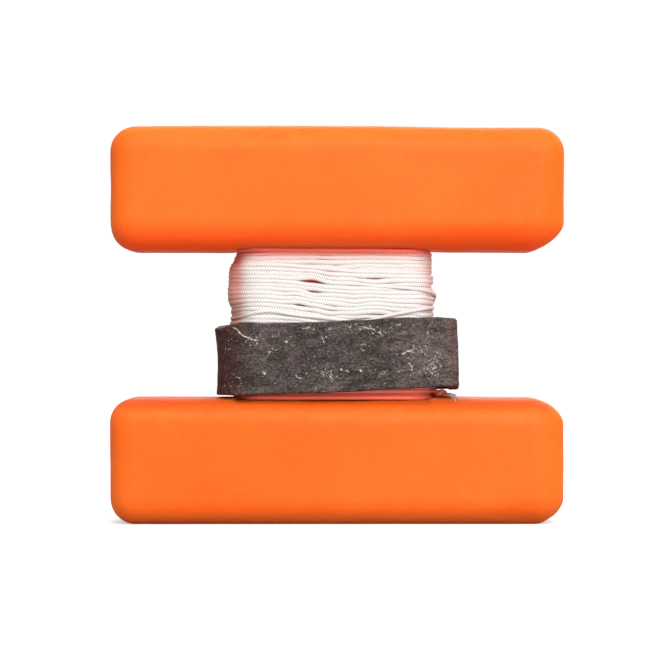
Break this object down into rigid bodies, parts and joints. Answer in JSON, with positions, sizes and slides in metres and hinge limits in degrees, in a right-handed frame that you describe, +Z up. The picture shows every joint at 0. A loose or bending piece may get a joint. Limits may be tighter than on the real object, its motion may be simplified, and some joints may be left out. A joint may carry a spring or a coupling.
{
  "type": "fishing marker float",
  "caption": "H-shaped foam marker float with braided line wound round its web and a bent lead strap weight that clips over the line and peels open to drop.",
  "frame": {"origin": "centre of the lower bar's flat underside", "axes": "+X along the bars, +Y from the front face to the back, +Z up the H from the lower bar to the upper bar"},
  "size_m": [0.127, 0.038, 0.1114],
  "materials": {
    "foam": "matte",
    "line": "matte",
    "lead": "matte"
  },
  "bodies": {
    "float": {"float_body": "foam", "line_anchor_hitch": "line", "line_anchor_tail": "line", "line_layer_1": "line", "line_layer_2": "line", "line_layer_3": "line", "line_layer_4": "line", "line_layer_5": "line"},
    "strap_tied_end": {"weight_tied_end": "lead", "weight_eye_loop": "line", "weight_eye_knot": "line", "line_leader": "line"},
    "strap_front": {"weight_front_plate": "lead"},
    "strap_side": {"weight_side_plate": "lead"},
    "strap_flap": {"weight_end_flap": "lead"}
  },
  "joints": [
    {"name": "strap_slide", "type": "slide", "parent": "float", "child": "strap_tied_end", "axis": [0, 0, 1], "range_m": [0, 0.0155]},
    {"name": "front_bend", "type": "hinge", "parent": "strap_tied_end", "child": "strap_front", "pos_m": [-0.02564, -0.0151, 0.04595], "axis": [0.0332, 0, -0.9995], "range_deg": [0, 30]},
    {"name": "side_bend", "type": "hinge", "parent": "strap_front", "child": "strap_side", "pos_m": [0.03263, -0.0151, 0.04788], "axis": [0.0332, 0, -0.9995], "range_deg": [0, 90]},
    {"name": "flap_bend", "type": "hinge", "parent": "strap_side", "child": "strap_flap", "pos_m": [0.03263, 0.0161, 0.04788], "axis": [0.0332, 0, -0.9995], "range_deg": [0, 90]}
  ],
  "couplings": [
    {"joint": "front_bend", "follows": "side_bend", "ratio": 0.33333}
  ]
}
